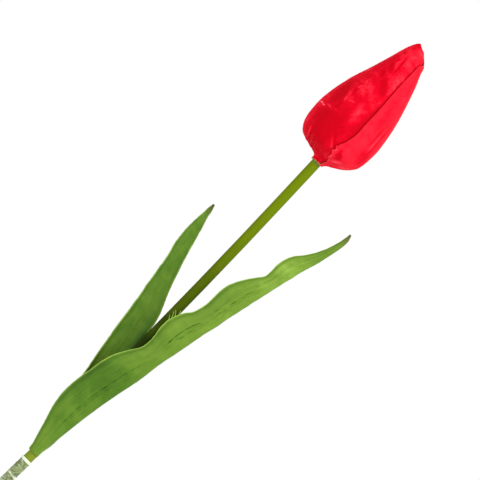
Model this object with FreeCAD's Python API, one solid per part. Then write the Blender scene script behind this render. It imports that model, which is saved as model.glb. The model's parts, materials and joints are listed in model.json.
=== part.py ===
"""Artificial tulip: a closed cloth bud on a plastic-covered wire stem with two clasping leaves.

Millimetres. The origin is the centre of the stem's cut end. +Z runs up the straight
lower stem, the long leaf is in front (-Y) and the stem's upper half leans towards -X.
"""
import FreeCAD
import Part
import math
import os

from FreeCAD import Placement, Rotation, Vector

# Stem: a straight foot, a gentle arc and a short straight top
straight_run = 80.0
bend_run = 200.0
top_run = 20.0
bend_radius = 3000.0
stem_radius = 2.2
wire_radius = 0.8
wire_fit = 0.05

# Peg that joins the bud to the stem
rim_thickness = 1.0
rim_radius = 2.2
shank_radius = 1.3
shank_length = 12.0
spindle_radius = 1.2
spindle_length = 10.0
running_fit = 0.05
end_play = 0.3
peg_chamfer = 0.3

# Wrap of clear film round the lower stem
wrap_top = 126.2
wrap_length = 38.0
wrap_thickness = 0.3
wrap_fit = 0.05
lap_pitch = 4.9
lap_width = 0.8
lap_height = 0.15
band_width = 1.3
band_thickness = 0.5

# Leaf collar on the stem
collar_foot = 129.6
collar_length = 6.0
collar_thickness = 0.15
collar_fit = 0.03

# Leaves: two plies of cloth with a wire between them
leaf_foot = 129.9
leaf_fit = 0.15
leaf_clasp = 14.0
leaf_foot_margin_share = 0.66
ply_thickness = 0.25
vein_radius = 0.3
vein_gap = 0.2
vein_half_width_share = 0.3
vein_start_share = 0.02
vein_end_share = 0.92
vein_fade_share = 0.06

long_leaf_length = 159.3
long_leaf_reach = 31.2
long_leaf_lean = 14.0
long_leaf_bow = 3.6

short_leaf_length = 126.6
short_leaf_reach = 20.5
short_leaf_lean = 11.0
short_leaf_bow = 3.4

# Bud
bud_radius = 16.4
bud_height = 66.3
lopsided_share = 0.04
petal_cloth = 0.5
petal_gap = 0.35
petal_seat_gap = 0.1
outer_petal_angle = 150.0
inner_petal_break_angle = 8.0
front_seam_angle = 16.0
core_gap = 0.3
core_foot_share = 0.10
core_top_share = 0.88

# Receptacle that carries the petals and the core
hub_radius = 2.5
hub_lip_radius = 3.0
hub_lip_thickness = 0.4
spike_radius = 1.9
spike_length = 18.0
spike_point = 1.5

# Shares of the bud's radius and height, from the seat to the tip
BUD_PROFILE_SHARES = [
    (0.140, 0.000), (0.290, 0.030), (0.540, 0.063), (0.760, 0.094), (0.890, 0.130),
    (0.960, 0.180), (0.995, 0.250), (0.992, 0.315), (0.960, 0.390), (0.905, 0.465),
    (0.843, 0.540), (0.750, 0.615), (0.655, 0.690), (0.550, 0.765), (0.455, 0.840),
    (0.335, 0.910), (0.250, 0.955), (0.150, 1.000)]

# Rows of a petal from its claw to its top edge: place along the petal, and its half span
# as a share of the full half span
OUTER_ROW_SHARES = [
    (0.00, 0.72), (0.05, 0.80), (0.10, 0.88), (0.155, 0.94), (0.22, 0.98), (0.30, 1.00),
    (0.40, 1.00), (0.52, 0.985), (0.65, 0.94), (0.78, 0.86), (0.90, 0.75), (1.00, 0.62)]
INNER_ROW_SHARES = [
    (0.00, 0.80), (0.05, 0.86), (0.10, 0.92), (0.155, 0.96), (0.22, 0.99), (0.30, 1.00),
    (0.40, 1.00), (0.52, 0.985), (0.65, 0.94), (0.78, 0.85), (0.90, 0.70), (1.00, 0.52)]

# Where a petal's claw starts and its top edge ends, as shares of the profile
OUTER_FOOT_SHARE = 0.025
INNER_FOOT_SHARE = 0.03

# Each outer petal: name, turn from the front seam in shares of a third of a circle,
# top as a share of the profile's length, and how far its corners drop, as a share too
OUTER_PETALS = [
    ("outer_petal_right", 0.0, 0.950, 0.10),
    ("outer_petal_left", -1.0, 0.995, 0.09),
    ("outer_petal_back", -2.0, 0.975, 0.09)]
INNER_TOP_SHARE = 0.93
INNER_DROP_SHARE = 0.08

# Leaf sections from foot to tip: height, left and right silhouette, setback and bow as
# shares of the leaf's length, reach, reach, lean and bow. The places are from the stem.
LONG_LEAF_SHARES = [
    (0.000, -0.095, 0.095, 0.00, 0.82), (0.045, -0.140, 0.105, 0.02, 0.86),
    (0.090, -0.215, 0.115, 0.03, 0.92), (0.145, -0.285, 0.135, 0.04, 0.98),
    (0.205, -0.305, 0.178, 0.07, 1.00), (0.260, -0.262, 0.228, 0.12, 0.98),
    (0.320, -0.207, 0.290, 0.19, 0.95), (0.370, -0.075, 0.330, 0.24, 0.92),
    (0.415, 0.035, 0.375, 0.28, 0.88), (0.470, 0.015, 0.430, 0.32, 0.86),
    (0.515, 0.042, 0.480, 0.36, 0.84), (0.560, 0.175, 0.530, 0.40, 0.80),
    (0.615, 0.240, 0.595, 0.46, 0.74), (0.675, 0.265, 0.655, 0.53, 0.68),
    (0.720, 0.375, 0.705, 0.58, 0.60), (0.765, 0.545, 0.765, 0.64, 0.50),
    (0.810, 0.560, 0.825, 0.70, 0.44), (0.860, 0.660, 0.880, 0.77, 0.36),
    (0.915, 0.860, 0.965, 0.86, 0.24), (0.965, 0.930, 1.035, 0.94, 0.20),
    (1.000, 0.970, 1.020, 1.00, 0.14)]

SHORT_LEAF_SHARES = [
    (0.000, -0.125, 0.125, 0.00, 0.84), (0.080, -0.200, 0.150, 0.04, 0.90),
    (0.160, -0.300, 0.140, 0.08, 0.96), (0.240, -0.400, 0.140, 0.12, 1.00),
    (0.320, -0.475, 0.130, 0.17, 1.00), (0.400, -0.575, 0.090, 0.24, 0.98),
    (0.480, -0.640, 0.010, 0.32, 0.94), (0.550, -0.710, -0.075, 0.40, 0.90),
    (0.610, -0.765, -0.165, 0.47, 0.86), (0.665, -0.820, -0.300, 0.54, 0.80),
    (0.720, -0.870, -0.435, 0.61, 0.72), (0.775, -0.930, -0.545, 0.69, 0.62),
    (0.830, -1.005, -0.650, 0.77, 0.52), (0.880, -1.020, -0.740, 0.84, 0.42),
    (0.930, -1.005, -0.830, 0.90, 0.30), (0.975, -1.000, -0.885, 0.96, 0.20),
    (1.000, -0.990, -0.920, 1.00, 0.15)]

# Angles of a leaf's margins round its section, in degrees from its outermost line
LONG_LEAF_MARGINS = (-85.0, 98.0)
SHORT_LEAF_MARGINS = (-74.0, 72.0)

# Petals in each ring, and the number of places across a ply or a petal that set its surface
PETALS_IN_RING = 3
PLY_STATIONS = 21
PETAL_STATIONS = 13

# Sizes worked out from those above
stem_length = straight_run + bend_run + top_run
stem_bore_depth = shank_length + end_play
collar_outer = stem_radius + collar_fit + collar_thickness
petal_turn_angle = 360.0 / PETALS_IN_RING
inner_petal_angle = petal_turn_angle - inner_petal_break_angle
petal_ramp = (petal_cloth + petal_gap) * outer_petal_angle / petal_turn_angle
inner_depth = petal_ramp + petal_cloth + petal_gap
core_depth = inner_depth + petal_cloth + core_gap


def write(name, shape):
    """Checks one sub-part and writes it to its own file."""
    solids = len(shape.Solids)
    print(f"{name}: solids {solids}, valid {shape.isValid()}, volume {shape.Volume:.1f}")
    shape.exportStep(f"parts/{name}.step")


def stem_frame(distance):
    """The point of the stem's centre line at a distance from the cut end, and its lean."""
    if distance <= straight_run:
        return Vector(0, 0, distance), 0.0
    on_arc = min(distance - straight_run, bend_run)
    lean = on_arc / bend_radius
    past = distance - straight_run - on_arc
    x = -bend_radius * (1.0 - math.cos(lean)) - past * math.sin(lean)
    z = straight_run + bend_radius * math.sin(lean) + past * math.cos(lean)
    return Vector(x, 0, z), lean


def stem_x(height):
    """Where the stem's centre line stands sideways at a height."""
    if height <= straight_run:
        return 0.0
    arc_top, lean = stem_frame(straight_run + bend_run)
    if height <= arc_top.z:
        return -bend_radius * (1.0 - math.cos(math.asin((height - straight_run) / bend_radius)))
    return arc_top.x - (height - arc_top.z) * math.tan(lean)


def stem_rod(start, end, radius):
    """A round rod that follows the stem's centre line between two distances."""
    breaks = [straight_run, straight_run + bend_run]
    stops = [start] + [stop for stop in breaks if start < stop < end] + [end]
    edges = []
    for low, high in zip(stops, stops[1:]):
        first, middle, last = (stem_frame(place)[0] for place in (low, (low + high) / 2, high))
        if straight_run <= low and high <= straight_run + bend_run:
            edges.append(Part.Arc(first, middle, last).toShape())
        else:
            edges.append(Part.LineSegment(first, last).toShape())
    base, lean = stem_frame(start)
    along = Vector(-math.sin(lean), 0, math.cos(lean))
    ring = Part.Wire([Part.Circle(base, along, radius).toShape()])
    return Part.Wire(edges).makePipeShell([ring], True, True)


def stem_sleeve(start, end, inner, outer):
    """A tube round the stem between two distances."""
    return stem_rod(start, end, outer).cut(stem_rod(start, end, inner))


def at_seat(shape):
    """Sets a shape made about the bud's own axis on the stem's top."""
    seat, lean = stem_frame(stem_length)
    shape.Placement = Placement(seat, Rotation(Vector(0, 1, 0), -math.degrees(lean)))
    return shape


def turned(points):
    """A solid turned about +Z from an outline of radius and height."""
    corners = [Vector(radius, 0, height) for radius, height in points]
    outline = Part.Wire(Part.makePolygon(corners + corners[:1]))
    return Part.Face(outline).revolve(Vector(0, 0, 0), Vector(0, 0, 1), 360)


def make_stem_sheath():
    """The green plastic cover of the wire, with a bore for the peg at its top."""
    top = stem_length - rim_thickness
    sheath = stem_rod(0, top, stem_radius)
    wire_bore = stem_rod(0, top, wire_radius + wire_fit)
    peg_bore = stem_rod(top - stem_bore_depth, top, shank_radius + running_fit)
    return sheath.cut(wire_bore).cut(peg_bore)


def make_stem_wire():
    """The steel wire in the sheath, which ends below the peg."""
    return stem_rod(0, stem_length - rim_thickness - stem_bore_depth - end_play, wire_radius)


def make_head_peg():
    """The plastic peg: a shank in the stem, a rim on its top and a spindle in the bud."""
    outline = [
        (0, -rim_thickness - shank_length),
        (shank_radius - peg_chamfer, -rim_thickness - shank_length),
        (shank_radius, -rim_thickness - shank_length + peg_chamfer),
        (shank_radius, -rim_thickness),
        (rim_radius, -rim_thickness),
        (rim_radius, 0),
        (spindle_radius, 0),
        (spindle_radius, spindle_length - peg_chamfer),
        (spindle_radius - peg_chamfer, spindle_length),
        (0, spindle_length)]
    return at_seat(turned(outline))


def make_receptacle():
    """The hub on the spindle: a lip under the petals and a spike up into the core."""
    bore = spindle_radius + running_fit
    foot = petal_seat_gap
    outline = [
        (bore, foot),
        (hub_lip_radius, foot),
        (hub_lip_radius, foot + hub_lip_thickness),
        (hub_radius, foot + hub_lip_thickness),
        (hub_radius, foot + hub_lip_thickness + inner_depth),
        (spike_radius, foot + hub_lip_thickness + core_depth),
        (spike_radius, spike_length - spike_point),
        (0, spike_length),
        (0, spindle_length + end_play),
        (bore, spindle_length + end_play)]
    return at_seat(turned(outline))


def bud_curve():
    """The bud's outline as one smooth curve of radius and height."""
    points = [Vector(bud_radius * radius, 0, bud_height * height)
              for radius, height in BUD_PROFILE_SHARES]
    curve = Part.BSplineCurve()
    curve.interpolate(points)
    return curve


def bud_point(curve, share, depth, angle):
    """A point at a share of the outline, sunk under it and turned to an angle."""
    place = curve.FirstParameter + share * (curve.LastParameter - curve.FirstParameter)
    point = curve.value(place)
    slope = curve.tangent(place)[0]
    radius = point.x - slope.z * depth
    height = point.z + slope.x * depth
    swell = 1.0 - lopsided_share * math.sin(angle)
    return Vector(radius * swell * math.sin(angle), -radius * swell * math.cos(angle), height)


def surface(rows):
    """A smooth surface through a grid of points."""
    patch = Part.BSplineSurface()
    patch.interpolate(rows)
    return patch


def cloth_solid(inner_rows, outer_rows):
    """A closed sheet of cloth between two grids of points of the same size."""
    inner, outer = surface(inner_rows), surface(outer_rows)
    faces = [inner.toShape(), outer.toShape()]
    bounds = []
    for patch in (inner, outer):
        low_u, high_u, low_v, high_v = patch.bounds()
        bounds.append([patch.uIso(low_u), patch.uIso(high_u), patch.vIso(low_v), patch.vIso(high_v)])
    for inner_edge, outer_edge in zip(*bounds):
        faces.append(Part.makeRuledSurface(inner_edge.toShape(), outer_edge.toShape(), 1))
    shell = Part.Shell(faces)
    shell.sewShape()
    solid = Part.Solid(Part.Shell(shell.Faces))
    if solid.Volume < 0:
        solid.reverse()
    return solid


def petal_grid(centre, span, spans, foot, top, drop, depth_at):
    """The grid of one face of a petal, rows from its claw to its top edge."""
    curve = bud_curve()
    rows = []
    for along, span_share in spans:
        half = span / 2.0 * span_share
        points = []
        for station in range(PETAL_STATIONS):
            across = 2.0 * station / (PETAL_STATIONS - 1) - 1.0
            share = foot + (top * (1.0 - drop * across ** 2) - foot) * along
            angle = math.radians(centre + across * half)
            depth = depth_at(across * half)
            points.append(bud_point(curve, share, depth, angle))
        rows.append(points)
    return rows


def make_outer_petal(turn, top, drop):
    """One of three petals that lap round the bud, each over the next at one edge."""
    centre = front_seam_angle + outer_petal_angle / 2.0 + turn * petal_turn_angle
    foot = OUTER_FOOT_SHARE

    def ramp(from_centre):
        return petal_ramp * (from_centre / outer_petal_angle + 0.5)

    def inner_ramp(from_centre):
        return ramp(from_centre) + petal_cloth

    inner = petal_grid(centre, outer_petal_angle, OUTER_ROW_SHARES, foot, top, drop, inner_ramp)
    outer = petal_grid(centre, outer_petal_angle, OUTER_ROW_SHARES, foot, top, drop, ramp)
    return at_seat(cloth_solid(inner, outer))


def make_inner_petal(index):
    """One of three petals inside the outer ones, edge to edge round the core."""
    centre = front_seam_angle + outer_petal_angle / 2.0 + (index - 0.5) * petal_turn_angle
    faces = []
    for depth in (inner_depth + petal_cloth, inner_depth):
        faces.append(petal_grid(centre, inner_petal_angle, INNER_ROW_SHARES, INNER_FOOT_SHARE,
                                INNER_TOP_SHARE, INNER_DROP_SHARE, lambda _: depth))
    return at_seat(cloth_solid(*faces))


def make_bud_core():
    """The light foam former under the petals, with a socket for the spike."""
    curve = bud_curve()
    points = []
    steps = 16
    slimmest = 1.0 - lopsided_share
    for step in range(steps + 1):
        share = core_foot_share + (core_top_share - core_foot_share) * step / steps
        point = bud_point(curve, share, core_depth, math.pi)
        points.append(Vector(point.y * slimmest, 0, point.z))
    side = Part.BSplineCurve()
    side.interpolate(points)
    top, foot = points[-1], points[0]
    edges = [side.toShape(),
             Part.LineSegment(top, Vector(0, 0, top.z)).toShape(),
             Part.LineSegment(Vector(0, 0, top.z), Vector(0, 0, foot.z)).toShape(),
             Part.LineSegment(Vector(0, 0, foot.z), foot).toShape()]
    body = Part.Face(Part.Wire(edges)).revolve(Vector(0, 0, 0), Vector(0, 0, 1), 360)
    socket = turned([(0, 0), (spike_radius, 0), (spike_radius, spike_length - spike_point),
                     (0, spike_length)])
    return at_seat(body.cut(socket))


def leaf_row(shares, sizes, margins, side):
    """One section of a leaf: centre, half axes, margins and height."""
    height, left, right, setback, bow = shares
    length, reach, lean, full_bow = sizes
    z = leaf_foot + length * height
    clear = collar_outer + leaf_fit + ply_thickness
    narrowest = clear if z < leaf_foot + leaf_clasp else 0.0
    grip = smooth_step((z - leaf_foot) / leaf_clasp)
    grip = leaf_foot_margin_share + (1.0 - leaf_foot_margin_share) * grip
    left_x = stem_x(z) + reach * left
    right_x = stem_x(z) + reach * right
    return {"x": (left_x + right_x) / 2.0, "y": side * lean * setback, "z": z,
            "wide": max((right_x - left_x) / 2.0, narrowest),
            "deep": max(full_bow * bow, clear - lean * setback),
            "margins": [margin * grip for margin in margins], "side": side}


def leaf_point(row, across, offset):
    """A point of a leaf's section, from margin to margin, moved off its middle face."""
    low, high = row["margins"]
    angle = math.radians(low + (high - low) * (across + 1.0) / 2.0)
    wide, deep = row["wide"], row["deep"]
    out_x, out_y = deep * math.sin(angle), wide * math.cos(angle)
    size = math.hypot(out_x, out_y)
    x = row["x"] + wide * math.sin(angle) + offset * out_x / size
    y = row["y"] + row["side"] * (deep * math.cos(angle) + offset * out_y / size)
    return Vector(x, y, row["z"])


def smooth_step(share):
    """Rises smoothly from 0 to 1."""
    share = min(max(share, 0.0), 1.0)
    return share * share * (3.0 - 2.0 * share)


def vein_swell(across, along):
    """How far the outer ply stands off over the wire, as a share of the wire's space."""
    rise = smooth_step((along - vein_start_share + vein_fade_share) / vein_fade_share)
    fall = smooth_step((vein_end_share + vein_fade_share - along) / vein_fade_share)
    return rise * fall * smooth_step(1.0 - abs(across) / vein_half_width_share)


def make_ply(rows, depths, vein):
    """One ply of a leaf between two depths from its middle face, with room for the wire."""
    grids = []
    length = rows[-1]["z"] - rows[0]["z"]
    for depth in depths:
        grid = []
        for row in rows:
            along = (row["z"] - rows[0]["z"]) / length
            points = []
            for station in range(PLY_STATIONS):
                across = 2.0 * station / (PLY_STATIONS - 1) - 1.0
                points.append(leaf_point(row, across, depth + vein * vein_swell(across, along)))
            grid.append(points)
        grids.append(grid)
    return cloth_solid(*grids)


def make_leaf_wire(rows):
    """The wire that stiffens a leaf, in the space under its outer ply."""
    length = rows[-1]["z"] - rows[0]["z"]
    inside = [row for row in rows
              if vein_start_share < (row["z"] - rows[0]["z"]) / length < vein_end_share]
    points = [leaf_point(row, 0.0, vein_radius + vein_gap / 2.0) for row in inside]
    rings = []
    for index, point in enumerate(points):
        before = points[max(index - 1, 0)]
        after = points[min(index + 1, len(points) - 1)]
        rings.append(Part.Wire([Part.Circle(point, after - before, vein_radius).toShape()]))
    return Part.makeLoft(rings, True, False)


def make_leaf(name, table, sizes, margins, side):
    """A leaf: its outer ply, its inner ply and its wire."""
    rows = [leaf_row(shares, sizes, margins, side) for shares in table]
    vein = 2.0 * vein_radius + vein_gap
    write(f"{name}_outer_ply", make_ply(rows, (0.0, ply_thickness), vein))
    write(f"{name}_inner_ply", make_ply(rows, (-ply_thickness, 0.0), 0.0))
    write(f"{name}_wire", make_leaf_wire(rows))


def make_clear_wrap():
    """The clear film, with the thicker lines where each turn laps the last."""
    inner = stem_radius + wrap_fit
    outer = inner + wrap_thickness
    foot, top = wrap_top - wrap_length, wrap_top - band_width
    film = stem_sleeve(foot, top, inner, outer)
    lap = foot + lap_pitch
    while lap + lap_width < top:
        film = film.fuse(stem_sleeve(lap, lap + lap_width, inner, outer + lap_height))
        lap += lap_pitch
    return film.removeSplitter()


def main():
    os.makedirs("parts", exist_ok=True)
    write("stem_sheath", make_stem_sheath())
    write("stem_wire", make_stem_wire())
    write("clear_wrap", make_clear_wrap())
    inner = stem_radius + wrap_fit
    write("wrap_edge_band", stem_sleeve(wrap_top - band_width, wrap_top, inner, inner + band_thickness))
    write("leaf_collar", stem_sleeve(collar_foot, collar_foot + collar_length,
                                     stem_radius + collar_fit, collar_outer))
    write("head_peg", make_head_peg())
    write("receptacle", make_receptacle())
    write("bud_core", make_bud_core())
    for index in range(PETALS_IN_RING):
        write(f"inner_petal_{index + 1}", make_inner_petal(index))
    for name, turn, top, drop in OUTER_PETALS:
        write(name, make_outer_petal(turn, top, drop))
    long_sizes = (long_leaf_length, long_leaf_reach, long_leaf_lean, long_leaf_bow)
    make_leaf("long_leaf", LONG_LEAF_SHARES, long_sizes, LONG_LEAF_MARGINS, -1.0)
    short_sizes = (short_leaf_length, short_leaf_reach, short_leaf_lean, short_leaf_bow)
    make_leaf("short_leaf", SHORT_LEAF_SHARES, short_sizes, SHORT_LEAF_MARGINS, 1.0)


main()
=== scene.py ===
"""Artificial tulip: cloth bud, covered wire stem, clasping leaves and a wrap of clear film.

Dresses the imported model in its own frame: metres, +Z up the lower stem, the long leaf
in front (-Y). Tables and small sizes are in millimetres and are scaled once by MM.
"""
import json
import math
from collections import namedtuple

import bmesh
import bpy
from bpy.props import FloatProperty, FloatVectorProperty, PointerProperty
from bpy.types import Operator, Panel, PropertyGroup
from mathutils import Matrix, Vector, noise


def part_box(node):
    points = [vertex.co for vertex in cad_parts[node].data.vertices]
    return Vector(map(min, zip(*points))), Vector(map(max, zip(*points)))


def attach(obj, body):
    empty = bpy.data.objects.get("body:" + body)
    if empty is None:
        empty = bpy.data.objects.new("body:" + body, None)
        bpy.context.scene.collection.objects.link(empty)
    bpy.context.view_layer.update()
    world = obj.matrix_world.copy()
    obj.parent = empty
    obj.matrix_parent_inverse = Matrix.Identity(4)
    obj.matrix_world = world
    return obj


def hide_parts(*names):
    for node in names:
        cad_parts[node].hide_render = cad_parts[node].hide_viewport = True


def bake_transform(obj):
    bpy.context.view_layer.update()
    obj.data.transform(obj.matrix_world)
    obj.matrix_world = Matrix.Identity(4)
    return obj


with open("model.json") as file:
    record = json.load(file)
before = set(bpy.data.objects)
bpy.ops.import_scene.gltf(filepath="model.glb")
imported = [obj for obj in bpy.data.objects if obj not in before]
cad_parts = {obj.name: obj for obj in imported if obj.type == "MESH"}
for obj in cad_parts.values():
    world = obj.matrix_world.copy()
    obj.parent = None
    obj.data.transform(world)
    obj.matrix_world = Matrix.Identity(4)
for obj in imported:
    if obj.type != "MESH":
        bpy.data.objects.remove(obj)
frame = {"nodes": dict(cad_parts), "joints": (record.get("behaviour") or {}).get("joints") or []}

bl_info = {
    "name": "Artificial tulip",
    "version": (1, 0, 0),
    "blender": (4, 5, 0),
    "location": "View3D > Sidebar > Tulip",
    "description": "Makes the cloth, leaves, stem and film of an artificial tulip",
    "category": "Object",
}

MM = 0.001
MERGE_DISTANCE = 0.001 * MM
bpy.context.view_layer.update()
JOINTS = {joint["name"]: joint for joint in frame["joints"]}

# Stem: a straight foot, then a gentle bend towards -X, then a straight top
STRAIGHT_RUN = 80.0
BEND_RUN = 200.0
BEND_RADIUS = 3000.0

# Bud seat and axis, and the leaves' foot, as the joints place them
SEAT = Vector(JOINTS["head_turn"]["pos_m"]) / MM
AXIS = Vector(JOINTS["head_turn"]["axis"])
LEAF_FOOT = JOINTS["long_leaf_bend"]["pos_m"][2] / MM

# Bud outline as shares of its radius and height. Each row: place along the outline,
# then radius and height on the left and on the right side.
BUD_OUTLINE_SHARES = [
    (0.000, 0.192, -0.001, 0.192, -0.001), (0.033, 0.212, 0.030, 0.268, 0.020),
    (0.085, 0.490, 0.053, 0.440, 0.045), (0.130, 0.683, 0.073, 0.629, 0.074),
    (0.165, 0.830, 0.092, 0.779, 0.104), (0.203, 0.930, 0.122, 0.895, 0.139),
    (0.243, 0.998, 0.168, 0.950, 0.181), (0.295, 1.034, 0.229, 0.980, 0.238),
    (0.352, 1.043, 0.296, 0.989, 0.305), (0.415, 1.018, 0.368, 0.968, 0.374),
    (0.493, 0.945, 0.457, 0.925, 0.456), (0.571, 0.848, 0.544, 0.858, 0.540),
    (0.646, 0.735, 0.627, 0.767, 0.623), (0.716, 0.622, 0.704, 0.669, 0.707),
    (0.784, 0.518, 0.778, 0.572, 0.783), (0.850, 0.421, 0.852, 0.462, 0.852),
    (0.916, 0.320, 0.923, 0.352, 0.917), (0.961, 0.238, 0.971, 0.261, 0.965),
    (1.000, 0.146, 1.009, 0.163, 1.002)]

# Side edges of the outer petals in degrees from their middle, by place along the outline
RIGHT_EDGES = [
    (0.001, -54, 56), (0.042, -61, 63), (0.105, -72, 69), (0.135, -80.5, 72),
    (0.170, -81.6, 75), (0.190, -86, 76), (0.208, -83.5, 77), (0.228, -86, 78),
    (0.242, -84, 78), (0.262, -81, 78), (0.287, -78.8, 78), (0.320, -76.8, 78),
    (0.352, -75.4, 77), (0.415, -75.6, 76), (0.571, -73.2, 73), (0.646, -71.7, 71),
    (0.716, -69.5, 68), (0.784, -65, 62), (0.850, -57, 52), (0.878, -51, 45),
    (0.897, -40, 34), (0.909, -14, 12)]
LEFT_EDGES = [
    (0.001, -54, 56), (0.085, -62, 66), (0.165, -70, 72), (0.295, -75, 76),
    (0.500, -75, 76), (0.700, -74, 76), (0.850, -72, 82), (0.900, -70, 92),
    (0.930, -68, 99), (1.000, -60, 102)]
BACK_EDGES = [
    (0.001, -55, 55), (0.085, -64, 66), (0.165, -72, 72), (0.295, -75, 75),
    (0.500, -75, 75), (0.700, -76, 74), (0.800, -84, 72), (0.880, -104, 68),
    (0.940, -116, 62), (1.000, -112, 50)]

# Top edges of the outer petals: angle from the middle, place along the outline
RIGHT_TOP = [(-90, 0.909), (0, 0.909), (90, 0.909)]
LEFT_TOP = [(-80, 0.955), (-52, 0.985), (-34, 0.995), (0, 0.989), (39, 0.979),
            (62, 0.973), (82, 0.956), (102, 0.920)]
BACK_TOP = [(-118, 0.901), (-106, 0.911), (-91, 0.930), (-66, 0.956), (-20, 0.970),
            (30, 0.965), (80, 0.945)]

# Dents, folds and painted shades of the front of the bud, seen from the front: place sideways
# and up, half width, half height, turn, depth, and shade (dark above 0, pale below)
# Dark: painted shade in dents, folds and beside the seam. Pale: painted highlight and pale creases
LEFT_FOLDS = [
    (-12.3, 28.5, 2.0, 5.4, 0, 0.24, 0.60), (-1.0, 41.5, 1.5, 4.4, 33, 0.26, 0.62),
    (-4.2, 50.2, 1.1, 2.6, 25, 0.18, 0.50), (-5.4, 46.0, 0.9, 2.0, 20, 0.12, 0.40),
    (-1.9, 53.6, 0.35, 5.2, 2, 0.18, 0.60), (2.6, 24.0, 1.3, 8.0, 0, 0.22, 0.34),
    (0.6, 17.0, 2.6, 5.0, -20, 0.10, 0.26), (-7.5, 12.5, 9.0, 5.2, 80, 0.00, 0.66),
    (-12.0, 16.0, 4.0, 4.0, 0, 0.00, 0.26), (-5.0, 22.0, 9.0, 6.0, 0, 0.00, 0.18),
    (-2.6, 26.0, 2.2, 3.6, 0, -0.12, -0.26), (-4.6, 36.0, 2.6, 3.4, 10, -0.14, -0.20),
    (0.4, 60.0, 4.6, 5.0, 0, 0.00, -0.24), (2.6, 47.0, 1.6, 7.0, 0, 0.00, -0.22),
    (-8.6, 32.5, 0.6, 2.0, 10, 0.12, 0.34), (-9.8, 23.6, 0.6, 2.2, -8, 0.10, 0.30),
    (-6.8, 30.8, 0.7, 1.2, 40, 0.10, 0.30), (-11.0, 7.4, 0.50, 3.2, 22, -0.30, -0.60),
    (-9.6, 6.6, 0.55, 2.8, 22, 0.28, 0.55), (-8.1, 6.0, 0.50, 2.6, 28, -0.26, -0.50),
    (-6.8, 5.2, 0.55, 2.4, 30, 0.22, 0.45), (-1.9, 11.0, 0.32, 4.0, 42, -0.20, -0.45),
    (-0.9, 11.9, 0.60, 3.8, 42, 0.16, 0.40), (-15.2, 19.9, 1.5, 0.20, -12, -0.08, -1.30),
    (-11.9, 20.7, 1.6, 0.40, -16, -0.06, -0.40), (-9.2, 21.4, 0.8, 0.5, 0, -0.04, -0.34),
    (-3.6, 4.0, 1.6, 1.4, 20, 0.00, 0.25), (3.6, 36.0, 0.7, 20.0, 0, 0.04, 0.45),
    (4.1, 19.5, 0.8, 6.5, 4, 0.00, 0.42), (2.2, 12.6, 1.2, 2.6, -30, 0.00, 0.34),
    (-3.4, 54.0, 0.22, 1.3, -20, -0.06, -0.34), (-7.6, 38.6, 0.22, 1.5, 12, -0.08, -0.32),
    (-8.4, 35.2, 0.25, 1.2, -24, -0.08, -0.30), (-9.3, 27.2, 0.25, 1.4, 15, -0.08, -0.34),
    (-6.4, 28.6, 1.0, 0.25, 18, -0.07, -0.30), (-13.6, 25.4, 0.25, 1.3, 10, -0.08, -0.36),
    (-10.2, 44.0, 0.22, 2.2, -20, -0.06, -0.22)]
RIGHT_FOLDS = [
    (4.9, 7.9, 1.4, 1.1, 15, 0.12, 0.50), (4.3, 9.6, 0.8, 1.0, 0, 0.08, 0.30),
    (5.2, 6.6, 1.7, 0.30, 25, 0.14, 0.50), (5.6, 5.4, 2.6, 0.38, 28, -0.14, -0.34),
    (9.4, 5.8, 2.2, 0.30, 30, -0.10, -0.22), (11.2, 25.0, 0.30, 6.0, 2, 0.06, 0.22),
    (13.1, 24.0, 0.25, 7.0, 3, 0.06, 0.26), (12.2, 22.0, 0.35, 6.0, 2, -0.05, -0.14),
    (8.0, 34.0, 1.6, 8.0, 8, 0.08, 0.10), (12.8, 14.0, 2.2, 4.0, 0, 0.00, 0.18)]

# Petals of the outer ring: name, turn in thirds of a circle, side edges, top edge, folds,
# painted shade of the whole petal, and how crumpled it is
OUTER_PETALS = [
    ("outer_petal_right", 0, RIGHT_EDGES, RIGHT_TOP, RIGHT_FOLDS, 0.00, 0.35),
    ("outer_petal_left", -1, LEFT_EDGES, LEFT_TOP, LEFT_FOLDS, 0.15, 1.15),
    ("outer_petal_back", -2, BACK_EDGES, BACK_TOP, [], 0.08, 0.80)]

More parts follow.
